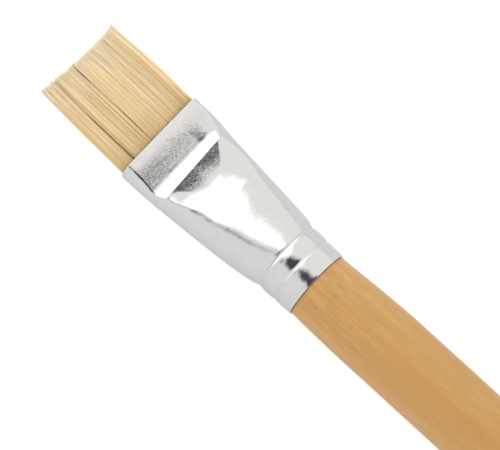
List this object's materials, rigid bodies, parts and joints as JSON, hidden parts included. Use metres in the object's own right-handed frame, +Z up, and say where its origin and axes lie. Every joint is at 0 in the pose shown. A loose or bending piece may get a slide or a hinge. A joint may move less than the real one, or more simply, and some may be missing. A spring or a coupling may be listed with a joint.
{
  "type": "flat artist's paint brush",
  "caption": "Flat hog-bristle artist's brush with a pressed and crimped aluminium ferrule on a round, unpainted hardwood handle, lying on its belly.",
  "frame": {"origin": "on the table that the brush lies on, under the middle of its bounding box", "axes": "+X along the brush from the bristle tips to the tail of the handle, +Y across the width of the tuft, +Z up through its thickness"},
  "size_m": [0.2572, 0.025, 0.0186],
  "materials": {
    "wood": "satin",
    "aluminium": "satin",
    "resin": "gloss",
    "thread": "matte",
    "bristle": "satin"
  },
  "bodies": {
    "brush_body": {"handle": "wood", "ferrule": "aluminium", "resin_plug": "resin", "binding_thread": "thread", "bristle_roots": "bristle"},
    "tuft": {"bristle_lock_01": "bristle", "bristle_lock_02": "bristle", "bristle_lock_03": "bristle", "bristle_lock_04": "bristle", "bristle_lock_05": "bristle", "bristle_lock_06": "bristle", "bristle_lock_07": "bristle", "bristle_lock_08": "bristle", "bristle_lock_09": "bristle", "bristle_lock_10": "bristle", "bristle_lock_11": "bristle", "bristle_lock_12": "bristle", "bristle_lock_13": "bristle", "bristle_lock_14": "bristle", "bristle_lock_15": "bristle", "bristle_lock_16": "bristle", "bristle_lock_17": "bristle", "bristle_lock_18": "bristle", "bristle_lock_19": "bristle", "bristle_lock_20": "bristle"}
  },
  "joints": [
    {"name": "tuft_flex", "type": "hinge", "parent": "brush_body", "child": "tuft", "pos_m": [-0.10628, 0, 0.0093], "axis": [0, 1, 0], "range_deg": [-20, 20], "stiffness_Nm_per_rad": 0.045}
  ]
}
